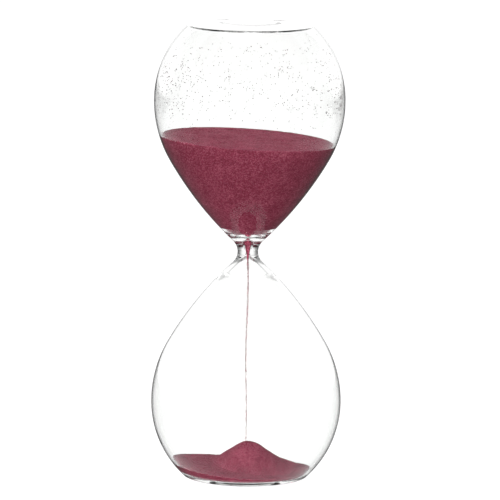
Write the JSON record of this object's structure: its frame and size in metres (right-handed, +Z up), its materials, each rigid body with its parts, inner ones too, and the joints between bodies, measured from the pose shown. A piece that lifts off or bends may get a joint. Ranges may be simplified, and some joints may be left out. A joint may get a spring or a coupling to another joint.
{
  "type": "hourglass",
  "caption": "Frameless all-glass hourglass: two blown bulbs joined by a thick neck, with dark red sand in both bulbs and a thin falling stream.",
  "frame": {"origin": "centre of the base that the hourglass stands on", "axes": "+Z up the axis of both bulbs, from the lower end to the upper end; +X to the viewer's right"},
  "size_m": [0.08, 0.08, 0.194],
  "materials": {
    "clear_glass": "clear, smooth, blown",
    "red_sand": null
  },
  "bodies": {
    "glass": {"upper_bulb": "clear_glass", "lower_bulb": "clear_glass", "throat": "clear_glass", "upper_seal": "clear_glass", "lower_seal": "clear_glass", "upper_sand": "red_sand", "lower_sand": "red_sand", "clinging_grains": "red_sand"},
    "stream": {"falling_sand": "red_sand"}
  },
  "joints": [
    {"name": "sand_fall", "type": "slide", "parent": "glass", "child": "stream", "axis": [0, 0, 1], "range_m": [0, 0.038]}
  ]
}
